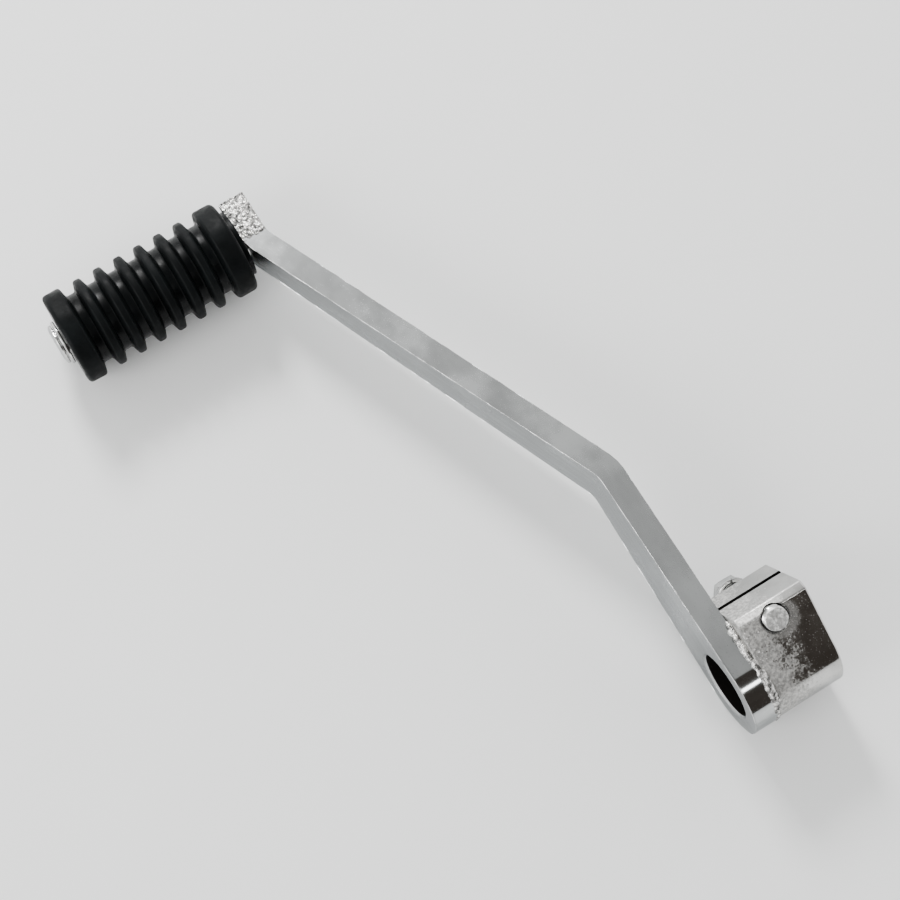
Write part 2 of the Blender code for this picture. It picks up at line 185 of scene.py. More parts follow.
class LeverFinish(bpy.types.PropertyGroup):
    """Colours and polish of the lever's surfaces."""

    plating: FloatVectorProperty(
        name="Plating", description="Plated steel", default=(0.48, 0.492, 0.492), subtype="COLOR"
    )
    hub_plating: FloatVectorProperty(
        name="Hub plating", description="Thinner plating on the hub", default=(0.60, 0.595, 0.58),
        subtype="COLOR",
    )
    weld: FloatVectorProperty(
        name="Weld", description="Plated weld metal", default=(0.62, 0.61, 0.59), subtype="COLOR"
    )
    bright: FloatVectorProperty(
        name="Bright steel", description="Pin, washers and bolt", default=(0.66, 0.66, 0.65), subtype="COLOR"
    )
    rubber: FloatVectorProperty(
        name="Rubber", description="Moulded rubber", default=(0.0022, 0.0028, 0.0030), subtype="COLOR"
    )
    floor: FloatVectorProperty(
        name="Floor", description="Pale floor", default=(0.90, 0.905, 0.90), subtype="COLOR"
    )


# ---- Modelling helpers --------------------------------------------------------------------------


def deselect_all():
    """Object mode, with nothing selected."""
    if bpy.context.mode != "OBJECT":
        bpy.ops.object.mode_set(mode="OBJECT")
    bpy.ops.object.select_all(action="DESELECT")


def activate(obj):
    """Makes this the only selected object, and the active one."""
    deselect_all()
    obj.select_set(True)
    bpy.context.view_layer.objects.active = obj


def added(name):
    """The primitive that was just added, under this name."""
    obj = bpy.context.object
    obj.name = obj.data.name = name
    return obj


@contextmanager
def editing(obj):
    """Edit mode on one object, with nothing selected at first; gives its editable mesh."""
    activate(obj)
    bpy.ops.object.mode_set(mode="EDIT")
    bpy.ops.mesh.select_mode(type="VERT")
    bpy.ops.mesh.select_all(action="DESELECT")
    yield bmesh.from_edit_mesh(obj.data)
    bpy.ops.object.mode_set(mode="OBJECT")


def select_edges(obj, test):
    """In edit mode, selects only the edges that pass the test."""
    bpy.ops.mesh.select_mode(type="EDGE")
    bpy.ops.mesh.select_all(action="DESELECT")
    mesh = bmesh.from_edit_mesh(obj.data)
    for edge in mesh.edges:
        edge.select_set(test(edge))
    bmesh.update_edit_mesh(obj.data)


def along(edge, axis):
    """Whether an edge runs along this local axis."""
    direction = (edge.verts[1].co - edge.verts[0].co).normalized()
    return abs(direction[axis]) > 0.999


def move_points(obj, rule):
    """Moves every vertex to where the rule puts it."""
    for vertex in obj.data.vertices:
        vertex.co = rule(vertex.co)
    obj.data.update()


def modify(obj, kind, **settings):
    """Adds one modifier with these settings and applies it."""
    activate(obj)
    made = obj.modifiers.new(kind.title(), kind)
    for name, value in settings.items():
        setattr(made, name, value)
    bpy.ops.object.modifier_apply(modifier=made.name)


def cut(obj, cutter, operation="DIFFERENCE"):
    """A Boolean with another object, which is then removed."""
    modify(obj, "BOOLEAN", operation=operation, solver="EXACT", object=cutter)
    bpy.data.objects.remove(cutter)


def settle(obj, matrix=None, angle=35, firm=False):
    """Puts the place into the mesh, turns the faces out and shades by angle.

    firm keeps large faces flat, so that only the small ones between them shade round."""
    if matrix is not None:
        obj.data.transform(matrix)
    with editing(obj):
        bpy.ops.mesh.select_all(action="SELECT")
        bpy.ops.mesh.remove_doubles(threshold=2e-6)
        bpy.ops.mesh.normals_make_consistent(inside=False)
    activate(obj)
    bpy.ops.object.shade_smooth_by_angle(angle=math.radians(angle))
    if firm:
        modify(obj, "WEIGHTED_NORMAL", keep_sharp=True, weight=100)
    return obj


def outline_object(name, points):
    """A filled flat outline in the local XY plane, started from a circle with as many corners."""
    deselect_all()
    bpy.ops.mesh.primitive_circle_add(vertices=len(points), radius=0.01, fill_type="NGON")
    obj = added(name)
    for vertex, (x, y) in zip(obj.data.vertices, points):
        vertex.co = (x, y, 0)
    return obj


def extruded(name, points, bottom, top):
    """A filled outline, raised along local Z from bottom to top."""
    obj = outline_object(name, points)
    obj.data.transform(Matrix.Translation((0, 0, bottom)))
    with editing(obj):
        bpy.ops.mesh.select_all(action="SELECT")
        bpy.ops.mesh.extrude_region_move(TRANSFORM_OT_translate={"value": (0, 0, top - bottom)})
        bpy.ops.mesh.select_all(action="SELECT")
        bpy.ops.mesh.normals_make_consistent(inside=False)
    return obj


def spun(name, profile, steps):
    """A closed profile of (radius, height) points, spun once about local Z."""
    deselect_all()
    bpy.ops.mesh.primitive_circle_add(vertices=len(profile), radius=0.01, fill_type="NOTHING")
    obj = added(name)
    for vertex, (radius, height) in zip(obj.data.vertices, profile):
        vertex.co = (radius, 0, height)
    with editing(obj):
        bpy.ops.mesh.select_all(action="SELECT")
        bpy.ops.mesh.spin(
            steps=steps, angle=math.tau, center=(0, 0, 0), axis=(0, 0, 1), use_auto_merge=True
        )
        bpy.ops.mesh.select_all(action="SELECT")
        bpy.ops.mesh.remove_doubles(threshold=2e-6)
        bpy.ops.mesh.dissolve_degenerate(threshold=1e-6)
        bpy.ops.mesh.normals_make_consistent(inside=False)
    return obj


def divided_rod(name, around, cuts):
    """A cylinder one unit long and wide, cut across many times along its length."""
    deselect_all()
    bpy.ops.mesh.primitive_cylinder_add(vertices=around, radius=1, depth=1)
    obj = added(name)
    with editing(obj):
        select_edges(obj, lambda edge: along(edge, 2))
        bpy.ops.mesh.subdivide(number_cuts=cuts)
    return obj


def arc(centre, radius, start, end, steps):
    """Points along an arc, with both of its ends."""
    angles = [start + (end - start) * i / steps for i in range(steps + 1)]
    return [(centre[0] + radius * math.cos(a), centre[1] + radius * math.sin(a)) for a in angles]


def filleted(points, radii, steps=4):
    """A closed outline whose corners are rounded to their radii; 0 keeps a corner sharp."""
    made = []
    count = len(points)
    for i, (corner, radius) in enumerate(zip(points, radii)):
        corner = Vector(corner)
        if radius == 0:
            made.append(tuple(corner))
            continue
        to_before = (Vector(points[i - 1]) - corner).normalized()
        to_after = (Vector(points[(i + 1) % count]) - corner).normalized()
        half = to_before.angle(to_after) / 2
        setback = radius / math.tan(half)
        centre = corner + (to_before + to_after).normalized() * (radius / math.sin(half))
        first = corner + to_before * setback - centre
        last = corner + to_after * setback - centre
        turn = math.atan2(first.cross(last), first.dot(last))
        start = math.atan2(first.y, first.x)
        made += arc(centre, radius, start, start + turn, steps)
    return made


def lumps(place, scale, depth=3):
    """Fractal noise of about -1 to 1, with lumps of this size."""
    return noise.fractal(place / scale, 0.8, 2.0, depth)


def roughen(obj, height, scale, depth=3):
    """Pushes a surface in and out along its normals."""
    shifts = [
        vertex.normal * (height * lumps(vertex.co, scale, depth)) for vertex in obj.data.vertices
    ]
    for vertex, shift in zip(obj.data.vertices, shifts):
        vertex.co += shift
    obj.data.update()


def dress(obj, look, body, slot, *replaced):
    """Gives a finished piece its material and body, and hides the frame's nodes it stands for. Its slot is
    not used.
    """
    obj.data.materials.clear()
    obj.data.materials.append(look)
    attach(obj, body)
    if replaced:
        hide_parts(*replaced)


# ---- Shader helpers -----------------------------------------------------------------------------


def shader_node(tree, kind, sockets=None, **settings):
    """A node with these settings; a socket takes a value or another node's output."""
    made = tree.nodes.new(kind)
    for name, value in settings.items():
        setattr(made, name, value)
    for name, value in (sockets or {}).items():
        if isinstance(value, bpy.types.NodeSocket):
            tree.links.new(value, made.inputs[name])
        else:
            made.inputs[name].default_value = value
    return made


def group_tree(name, inputs, outputs):
    """A new shader group with float inputs and outputs, and its two end nodes."""
    tree = bpy.data.node_groups.new(name, "ShaderNodeTree")
    for label, value in inputs.items():
        tree.interface.new_socket(label, in_out="INPUT", socket_type="NodeSocketFloat").default_value = value
    for label in outputs:
        tree.interface.new_socket(label, in_out="OUTPUT", socket_type="NodeSocketFloat")
    return tree, tree.nodes.new("NodeGroupInput"), tree.nodes.new("NodeGroupOutput")


def own_place(tree):
    """The piece's own coordinates, in metres."""
    return tree.nodes.new("ShaderNodeTexCoord").outputs["Object"]


def noise_value(tree, vector, scale, detail=3.0, roughness=0.55):
    """Fractal noise of 0 to 1, with about this many lumps in a metre."""
    sockets = {"Vector": vector, "Scale": scale, "Detail": detail, "Roughness": roughness}
    return shader_node(tree, "ShaderNodeTexNoise", sockets).outputs["Fac"]


def maths(tree, operation, first, second=0.0):
    """A calculation with one or two numbers."""
    return shader_node(tree, "ShaderNodeMath", {0: first, 1: second}, operation=operation).outputs[0]


def times(tree, first, second):
    """Two numbers multiplied."""
    return maths(tree, "MULTIPLY", first, second)


def plus(tree, base, value, share=1.0, clamp=False):
    """A number with this share of another added to it."""
    made = shader_node(
        tree, "ShaderNodeMath", {0: value, 1: share, 2: base}, operation="MULTIPLY_ADD", use_clamp=clamp
    )
    return made.outputs[0]


def vector_maths(tree, operation, first, second=(0.0, 0.0, 0.0), result="Vector"):
    """A calculation with one or two vectors; result is Value where the answer is a number."""
    made = shader_node(tree, "ShaderNodeVectorMath", {0: first, 1: second}, operation=operation)
    return made.outputs[result]


def part_of(tree, vector, axis):
    """A vector's X, Y or Z."""
    return shader_node(tree, "ShaderNodeSeparateXYZ", {"Vector": vector}).outputs[axis]


def reach_across(tree, place):
    """How far a place is from the line along Y through the origin."""
    flat = vector_maths(tree, "MULTIPLY", place, (1.0, 0.0, 1.0))
    return vector_maths(tree, "LENGTH", flat, result="Value")


def spread(tree, value, low, high, to_low=0.0, to_high=1.0):
    """Maps a range of a value to another, smoothly and clamped."""
    sockets = {"Value": value, "From Min": low, "From Max": high, "To Min": to_low, "To Max": to_high}
    made = shader_node(tree, "ShaderNodeMapRange", sockets, interpolation_type="SMOOTHSTEP")
    return made.outputs["Result"]


def blend_colour(tree, factor, first, second):
    """The first colour where the factor is 0, the second where it is 1."""
    # A Mix node's colours are its sockets 6 and 7, and its mixed colour is output 2.
    made = shader_node(tree, "ShaderNodeMix", {0: factor, 6: first, 7: second}, data_type="RGBA")
    return made.outputs[2]


def plating_group():
    """Grain of a thin plating: blotches and fine pits as masks, and the height of its ripple."""
    if "plating_grain" in bpy.data.node_groups:
        return bpy.data.node_groups["plating_grain"]
    tree, start, end = group_tree(
        "plating_grain",
        {"Blotch Scale": 90.0, "Pit Scale": 2200.0, "Pit Amount": 0.4, "Wave Scale": 260.0},
        ("Blotch", "Pits", "Height"),
    )
    place = own_place(tree)
    blotch = noise_value(tree, place, start.outputs["Blotch Scale"], 4.0)
    wave = noise_value(tree, place, start.outputs["Wave Scale"], 2.0)
    cells = {"Vector": place, "Scale": start.outputs["Pit Scale"]}
    pits = shader_node(tree, "ShaderNodeTexVoronoi", cells).outputs["Distance"]
    worn = noise_value(tree, place, start.outputs["Pit Scale"], 3.0, 0.7)
    pit_mask = times(tree, spread(tree, pits, 0.34, 0.12), spread(tree, worn, 0.45, 0.62))
    pit_mask = times(tree, pit_mask, start.outputs["Pit Amount"])
    height = plus(tree, times(tree, wave, 0.6), pit_mask, -0.5)
    height = plus(tree, height, worn, 0.12)
    tree.links.new(spread(tree, blotch, 0.3, 0.7), end.inputs["Blotch"])
    tree.links.new(pit_mask, end.inputs["Pits"])
    tree.links.new(height, end.inputs["Height"])
    return tree


def edge_group():
    """The bright, ragged wear along a bar's edges, with a painted highlight on it, from the edge faces' own
    attribute.
    """
    if "edge_wear_and_highlight" in bpy.data.node_groups:
        return bpy.data.node_groups["edge_wear_and_highlight"]
    tree, start, end = group_tree("edge_wear_and_highlight", {"Nick Scale": 420.0}, ("Edge", "Height"))
    place = own_place(tree)
    edge = shader_node(tree, "ShaderNodeAttribute", attribute_name="worn_edge_and_highlight").outputs["Fac"]
    nicks = noise_value(tree, place, start.outputs["Nick Scale"], 3.0, 0.6)
    lifted = plus(tree, nicks, edge, 0.42)
    mask = times(tree, spread(tree, lifted, 0.70, 0.78), spread(tree, edge, 0.1, 0.25))
    tree.links.new(mask, end.inputs["Edge"])
    tree.links.new(times(tree, edge, nicks), end.inputs["Height"])
    return tree


def use_group(tree, group, **values):
    """The outputs of a shader group, used with these input values."""
    made = tree.nodes.new("ShaderNodeGroup")
    made.node_tree = group
    for name, value in values.items():
        made.inputs[name.replace("_", " ").title()].default_value = value
    return made.outputs


def new_material(name, colour, roughness, metallic):
    """A material with its Principled shader; the plain values stay on the shader's own sockets."""
    made = bpy.data.materials.new(name)
    made.use_nodes = True
    made.diffuse_color = (*colour, 1)
    shader = made.node_tree.nodes["Principled BSDF"]
    shader.inputs["Base Color"].default_value = (*colour, 1)
    shader.inputs["Roughness"].default_value = roughness
    shader.inputs["Metallic"].default_value = metallic
    return made, made.node_tree, shader


def tinted(colour, factor):
    """A colour made lighter or darker."""
    return (*(min(1.0, part * factor) for part in colour), 1)


def surface(tree, shader, base, rough, height, depth):
    """Links the colour, the roughness and bumps this many metres deep to the shader."""
    tree.links.new(base, shader.inputs["Base Color"])
    tree.links.new(rough, shader.inputs["Roughness"])
    bumps = shader_node(tree, "ShaderNodeBump", {"Strength": 1.0, "Distance": depth, "Height": height})
    tree.links.new(bumps.outputs["Normal"], shader.inputs["Normal"])


def dulled_steel(tree, colour):
    """The speckled grey of plating that has gone dull."""
    grit = spread(tree, noise_value(tree, own_place(tree), 1300.0, 4.0, 0.75), 0.40, 0.60)
    return blend_colour(tree, grit, tinted(colour, 0.45), tinted(colour, 1.1))


def plated_steel(
    name, colour, roughness, dark=0.93, pit_amount=0.35, bump=0.00001, wave=240.0, blotch=70.0,
    dull=None, dulled_colour=(0.56, 0.55, 0.53), shine=None, painted_shade=None, streaks=None
):
    """Plated steel: soft blotches, small dark pits and a faint ripple in the polish.

    dark is the shade of the blotches; blotch and wave are how many blotches and ripples there are
    in a metre, and bump is the ripple's depth. dull, shine, painted_shade and streaks make masks of where
    the steel has gone dull, is brightest, is painted near black as shade, or shows the bar's rolling marks."""
    made, tree, shader = new_material(name, colour, roughness, 1.0)
    shader.inputs["Specular Tint"].default_value = STEEL_TINT
    grain = use_group(
        tree, plating_group(), blotch_scale=blotch, pit_amount=pit_amount, wave_scale=wave
    )
    edge = use_group(tree, edge_group())
    base = blend_colour(tree, grain["Blotch"], tinted(colour, dark), tinted(colour, 1.04))
    if streaks:
        base = blend_colour(tree, times(tree, streaks(tree), 0.5), base, tinted(colour, 1.3))
    base = blend_colour(tree, grain["Pits"], base, tinted(colour, 0.35))
    # Edges: worn metal with a painted highlight, in near-white.
    base = blend_colour(tree, edge["Edge"], base, WORN_EDGE_AND_HIGHLIGHT)
    rough = spread(tree, grain["Blotch"], 0.0, 1.0, roughness * 0.85, roughness * 1.2)
    rough = plus(tree, rough, grain["Pits"], 0.3)
    rough = plus(tree, rough, edge["Edge"], 0.12)
    if shine:
        rough = times(tree, rough, spread(tree, shine(tree), 0.0, 1.0, 1.0, 0.35))
    if dull:
        dulled = dull(tree)
        base = blend_colour(tree, dulled, base, dulled_steel(tree, dulled_colour))
        rough = plus(tree, rough, dulled, 0.32, clamp=True)
        tree.links.new(spread(tree, dulled, 0.0, 1.0, 1.0, 0.55), shader.inputs["Metallic"])
    # Painted shade: deep walls go near black and rough.
    if painted_shade:
        shaded = painted_shade(tree)
        base = blend_colour(tree, shaded, base, PAINTED_SHADE_DARK)
        rough = plus(tree, rough, shaded, 0.5, clamp=True)
    surface(tree, shader, base, rough, plus(tree, grain["Height"], edge["Height"], 3.0), bump)
    return made


def hub_heat_and_bolt_highlight(tree):
    """Where the weld's heat has dulled the hub: speckled, thinning towards the hub's inner end; and a pale,
    dull ring round the bolt's tip, a painted highlight.
    """
    heat_starts, heat_full = -0.0070, -0.0140
    ring_outer, ring_inner = 0.0056, 0.0042
    place = own_place(tree)
    broad = maths(tree, "SUBTRACT", noise_value(tree, place, 260.0, 4.0, 0.6), 0.5)
    specks = maths(tree, "SUBTRACT", noise_value(tree, place, 1500.0, 3.0, 0.7), 0.5)
    reach = plus(tree, part_of(tree, place, "Y"), broad, 0.014)
    reach = plus(tree, reach, specks, 0.018)
    weld = spread(tree, reach, heat_starts, heat_full)
    # Painted highlight: a pale, dull ring round the bolt's tip.
    bolt_tip = HUB_AXES @ Vector((HUB_RADIUS, BOLT_HEIGHT - 0.0008, -BOLT_PLACE.y - 0.0008))
    away = vector_maths(tree, "DISTANCE", place, bolt_tip, "Value")
    away = plus(tree, away, specks, 0.003)
    ring = times(tree, spread(tree, away, ring_outer, ring_inner), 0.45)
    return times(tree, maths(tree, "MAXIMUM", weld, ring), 0.85)


def slit_walls_painted_shade(tree):
    """The walls of the hub's slit, painted near black as shade."""
    half = bpy.context.scene.lever_shape.slit / 2
    across = vector_maths(tree, "DOT_PRODUCT", own_place(tree), CHEEK, "Value")
    return spread(tree, maths(tree, "ABSOLUTE", across), half + 0.00004, half + 0.00001)


def eye_bore_painted_shade(tree):
    """Painted shade: the wall of the hole in the arm's eye painted near black, and a soft ring of painted
    dark reflection round it on the outer face.
    """
    hole = bpy.context.scene.lever_shape.eye_hole
    outer_y = ARM_INNER_Y - ARM_THICKNESS
    place = own_place(tree)
    reach = reach_across(tree, place)
    wall = spread(tree, reach, hole + 0.00022, hole + 0.00008)
    face = spread(tree, part_of(tree, place, "Y"), outer_y + 0.0006, outer_y + 0.0001)
    # A soft ring of painted dark reflection round the hole on the outer face.
    ring = times(tree, spread(tree, reach, hole + 0.0105, hole + 0.0010), 0.34)
    return maths(tree, "MAXIMUM", wall, times(tree, ring, face))


def rolling_streaks(tree):
    """Faint lines along the bar, left by rolling."""
    drawn = vector_maths(tree, "MULTIPLY", own_place(tree), (0.06, 0.14, 1.0))
    return spread(tree, noise_value(tree, drawn, 700.0, 3.0, 0.6), 0.38, 0.66)


def eye_shine(tree):
    """Where the arm is brightest: round its eye."""
    return spread(tree, part_of(tree, own_place(tree), "X"), -0.012, -0.003)


def tip_wear(tree):
    """The pinch bolt's sawn tip, duller than its shank, with a darker smudge."""
    place = own_place(tree)
    from_slit = vector_maths(tree, "SUBTRACT", place, BOLT_PLACE)
    along_bolt = vector_maths(tree, "DOT_PRODUCT", from_slit, BOLT_AXIS, "Value")
    end = spread(tree, along_bolt, BOLT_TIP + 0.0007, BOLT_TIP + 0.0003)
    smudge = spread(tree, noise_value(tree, place, 620.0, 2.0), 0.56, 0.44)
    return times(tree, end, plus(tree, 0.55, smudge, 0.45))


def weld_metal(name, colour):
    """Plated weld: bright crests, dark soot in the hollows and a coarse sparkle."""
    made, tree, shader = new_material(name, colour, 0.22, 1.0)
    place = own_place(tree)
    coarse = noise_value(tree, place, 900.0, 5.0, 0.65)
    fine = noise_value(tree, place, 3200.0, 2.0, 0.6)
    soot = spread(tree, coarse, 0.60, 0.42)
    base = blend_colour(tree, soot, tinted(colour, 1.25), tinted(colour, 0.20))
    rough = spread(tree, fine, 0.3, 0.7, 0.12, 0.40)
    surface(tree, shader, base, rough, plus(tree, coarse, fine, 0.35), 0.00022)
    return made


def moulded_rubber(name, colour):
    """Black rubber: satin skin, glossier in the grooves, with pale bloom and a fine mould grain."""
    made, tree, shader = new_material(name, colour, 0.5, 0.0)
    shader.inputs["Specular IOR Level"].default_value = 0.07
    place = own_place(tree)
    bloom = noise_value(tree, place, 130.0, 4.0, 0.6)
    grain = noise_value(tree, place, 2600.0, 3.0, 0.7)
    skin = noise_value(tree, place, 420.0, 2.0)
    base = blend_colour(tree, spread(tree, bloom, 0.35, 0.75), tinted(colour, 0.8), tinted(colour, 1.7))
    reach = reach_across(tree, vector_maths(tree, "SUBTRACT", place, PEG_PLACE))
    floor = bpy.context.scene.lever_shape.groove_radius
    groove = spread(tree, reach, floor + 0.0011, floor + 0.0004)
    rough = plus(tree, spread(tree, skin, 0.3, 0.7, 0.42, 0.60), groove, -0.2)
    surface(tree, shader, base, rough, plus(tree, times(tree, skin, 0.8), grain, 0.35), 0.00004)
    return made


def pale_floor(name, colour):
    """A plain pale sheet with the faintest mottling."""
    made, tree, shader = new_material(name, colour, 0.75, 0.0)
    place = own_place(tree)
    mottle = noise_value(tree, place, 40.0, 3.0)
    base = blend_colour(tree, spread(tree, mottle, 0.3, 0.7), tinted(colour, 0.995), tinted(colour, 1.005))
    tree.links.new(base, shader.inputs["Base Color"])
    return made


# ---- Arm ----------------------------------------------------------------------------------------


def arm_plan(x):
    """(y of the bar's middle line, its heading) where it passes x: two bends joined by a slant."""
    setback = BEND_RADIUS * math.tan(SLANT / 2)
    peg_from = PEG_BEND_X - setback
    peg_to = peg_from + BEND_RADIUS * math.sin(SLANT)
    hub_to = HUB_BEND_X + setback
    hub_from = hub_to - BEND_RADIUS * math.sin(SLANT)
    if x <= peg_from:
        return PEG_END_Y, 0.0
    if x <= peg_to:
        run = x - peg_from
        return PEG_END_Y + BEND_RADIUS - math.sqrt(BEND_RADIUS**2 - run**2), math.asin(run / BEND_RADIUS)
    if x <= hub_from:
        return ARM_MIDDLE_Y - (HUB_BEND_X - x) * math.tan(SLANT), SLANT
    if x <= hub_to:
        run = hub_to - x
        return ARM_MIDDLE_Y - BEND_RADIUS + math.sqrt(BEND_RADIUS**2 - run**2), math.asin(run / BEND_RADIUS)
    return ARM_MIDDLE_Y, 0.0


def line_height(x, x0, z0, x1, z1):
    """Height at x of the line through two places."""
    return z0 + (z1 - z0) * (x - x0) / (x1 - x0)


def arm_side(x):
    """(bottom, top) of the bar's side view at x: round eye, taper and rounded tip."""
    eye_x, eye_z = EYE_RADIUS * math.cos(EYE_START), EYE_RADIUS * math.sin(EYE_START)
    rise = math.sqrt(max(EYE_RADIUS**2 - x**2, 0.0))
    corner = TIP_X + TIP_ROUND
    if x >= 0:
        top = rise
    elif x >= HUB_BEND_X:
        top = line_height(x, HUB_BEND_X, BEND_TOP, 0, EYE_RADIUS)
    else:
        top = line_height(x, corner, TIP_TOP, HUB_BEND_X, BEND_TOP)
    if x >= eye_x:
        bottom = -rise
    elif x >= HUB_BEND_X:
        bottom = line_height(x, HUB_BEND_X, BEND_BOTTOM, eye_x, eye_z)
    else:
        bottom = line_height(x, corner, TIP_BOTTOM, HUB_BEND_X, BEND_BOTTOM)
    if x < corner:
        drop = TIP_ROUND - math.sqrt(max(TIP_ROUND**2 - (corner - x) ** 2, 0.0))
        top, bottom = TIP_TOP - drop, TIP_BOTTOM + drop
    return bottom, top


def arm_stations():
    """Where the bar is cut across: close together round the tip and the eye."""
    tip = [TIP_X + TIP_ROUND * (1 - math.cos(math.radians(a))) for a in range(0, 90, 15)]
    start = TIP_X + TIP_ROUND
    count = round(-start / CUT_SPACING)
    straight = [start - start * i / count for i in range(count)]
    angles = [EYE_CUT_DEGREES * i for i in range(int(90 / EYE_CUT_DEGREES))] + [90 - EYE_CUT_DEGREES / 2]
    return tip + straight + [EYE_RADIUS * math.sin(math.radians(a)) for a in angles]


def round_cutter(name, radius, low, high, flare):
    """A rod that widens at both ends, to cut a hole with broken rims."""
    profile = [
        (0, high + flare), (radius + 2 * flare, high + flare), (radius, high - flare),
        (radius, low + flare), (radius + 2 * flare, low - flare), (0, low - flare),
    ]
    return spun(name, profile, TURNED_STEPS)


def mark_edges(obj):
    """Marks the faces that the bevel made with how much wear and painted highlight they get, and nicks them.

    They are the faces of the second material. Those on the bar's outer side get the most wear and painted
    highlight, where the light catches the edge; those on the inner side get less."""
    mesh = obj.data
    shape = bpy.context.scene.lever_shape
    marks = mesh.attributes.new("worn_edge_and_highlight", "FLOAT", "FACE")
    edge_points, flat_points = set(), set()
    for face in mesh.polygons:
        if face.material_index:
            outer = face.center.y < arm_plan(face.center.x)[0]
            # Outer edges get more wear and painted highlight than inner ones.
            marks.data[face.index].value = OUTER_WEAR_AND_HIGHLIGHT if outer else INNER_WEAR_AND_HIGHLIGHT
            edge_points.update(face.vertices)
        else:
            flat_points.update(face.vertices)
        face.material_index = 0
    for index in edge_points - flat_points:
        vertex = mesh.vertices[index]
        sway = lumps(vertex.co, 0.0022, 2) + 0.6 * lumps(vertex.co, 0.0007, 2)
        vertex.co += vertex.normal * shape.edge_nicks * max(-0.6, min(sway, 0.35))
    mesh.update()


def make_arm(look):
    """The flat bar: a block cut across many times, bent to its plan and tapered to its side view."""
    shape = bpy.context.scene.lever_shape
    stations = arm_stations()
    deselect_all()
    bpy.ops.mesh.primitive_cube_add(size=1)
    arm = added("lever_arm")
    with editing(arm):
        select_edges(arm, lambda edge: along(edge, 0))
        bpy.ops.mesh.subdivide(number_cuts=len(stations) - 2)

    def bent(place):
        """Where a corner of the cut block goes."""
        x = stations[round((place.x + 0.5) * (len(stations) - 1))]
        middle, heading = arm_plan(x)
        side = place.y * ARM_THICKNESS
        x, y = x - side * math.sin(heading), middle + side * math.cos(heading)
        bottom, top = arm_side(max(TIP_X, min(x, EYE_RADIUS)))
        return Vector((x, y, bottom + (place.z + 0.5) * (top - bottom)))

    move_points(arm, bent)
    # The faces that the bevel makes go to the second material, where mark_edges finds them.
    arm.data.materials.append(look)
    arm.data.materials.append(look)
    modify(
        arm, "BEVEL", width=shape.arm_edge, segments=3, limit_method="ANGLE",
        angle_limit=math.radians(50), material=1,
    )
    mark_edges(arm)
    inner = -ARM_INNER_Y
    hole = round_cutter("eye_cutter", shape.eye_hole, inner, inner + ARM_THICKNESS, EYE_FLARE)
    hole.data.transform(Matrix.Rotation(math.pi / 2, 4, "X"))
    cut(arm, hole)
    settle(arm, angle=38, firm=True)
    dress(arm, look, "lever", "plated_steel", "shift_arm")


# ---- Clamp hub ----------------------------------------------------------------------------------


def hub_outline():
    """The hub's section: barrel below, and two chamfered ears above."""
    shoulder = math.pi - math.acos(HEAD_EAR / HUB_RADIUS)
    barrel = arc((0, 0), HUB_RADIUS, 0, shoulder - 2 * math.pi, BARREL_STEPS)[::-1]
    return barrel + [
        (HUB_RADIUS, EAR_HEIGHT - EAR_BEVEL),
        (HUB_RADIUS - EAR_BEVEL, EAR_HEIGHT),
        (-HEAD_EAR + EAR_BEVEL, EAR_HEIGHT),
        (-HEAD_EAR, EAR_HEIGHT - EAR_BEVEL),
    ]


def spline_outline():
    """The splined bore: each tooth is flat at its tip and its root, with sloping flanks."""
    points = []
    tooth_points = [(share, SPLINE_TIP) for share in (0, 0.12, 0.26)]
    tooth_points += [(share, SPLINE_ROOT) for share in (0.46, 0.62, 0.80)]
    pitch = math.tau / SPLINE_TEETH
    for tooth in range(SPLINE_TEETH):
        for share, radius in tooth_points:
            angle = (tooth + share) * pitch
            points.append((radius * math.cos(angle), radius * math.sin(angle)))
    return points


def make_hub(look):
    """The clamp hub: section, broken rims, splined bore, slit and bolt hole."""
    shape = bpy.context.scene.lever_shape
    hub = extruded("clamp_hub_body", hub_outline(), 0, HUB_LENGTH)
    with editing(hub):
        for level, offset, segments in ((HUB_LENGTH, 0.0003, 2), (0.0, 0.0005, 3)):
            select_edges(
                hub,
                lambda edge: all(abs(vert.co.z - level) < 1e-6 for vert in edge.verts)
                and edge.calc_face_angle(0) > 0.5,
            )
            bpy.ops.mesh.bevel(offset=offset, segments=segments, affect="EDGES")
        select_edges(hub, lambda edge: along(edge, 2) and edge.calc_face_angle(0) > math.radians(20))
        bpy.ops.mesh.bevel(offset=0.00035, segments=3, affect="EDGES")

    # The cutters run this far past the hub.
    past = 0.002
    cut(hub, extruded("bore_cutter", spline_outline(), -past, HUB_LENGTH + past))
    half = shape.slit / 2
    above = EAR_HEIGHT + past
    slit = [(-half, SLIT_FLOOR), (half, SLIT_FLOOR), (half, above), (-half, above)]
    cut(hub, extruded("slit_cutter", slit, -past, HUB_LENGTH + past))
    hole = round_cutter("bolt_cutter", BOLT_HOLE, -HUB_RADIUS, HEAD_EAR, BOLT_HOLE_FLARE)
    hole.data.transform(HUB_AXES.inverted() @ BOLT_AXES)
    cut(hub, hole)
    settle(hub, HUB_AXES, 30, firm=True)
    dress(hub, look, "lever", "plated_steel", "clamp_hub")


# ---- Welds --------------------------------------------------------------------------------------


def hub_weld_path(share):
    """(middle, direction out, shift along the bore) at this share of the bead.

    It runs along the arm's top against the hub, and then round the barrel."""
    level, radius = EYE_RADIUS + 0.0001, HUB_RADIUS - 0.0001
    run = share * (radius * BEAD_TURN - BEAD_START_X)
    if run < -BEAD_START_X:
        return Vector((BEAD_START_X + run, 0, level)), Vector((0, 0, 1)), -0.0003
    angle = (run + BEAD_START_X) / radius
    outward = Vector((math.sin(angle), 0, math.cos(angle)))
    sunk = 0.0007 * min(1.0, max(0.0, angle - 0.7))
    return outward * (radius - sunk), outward, 0.0


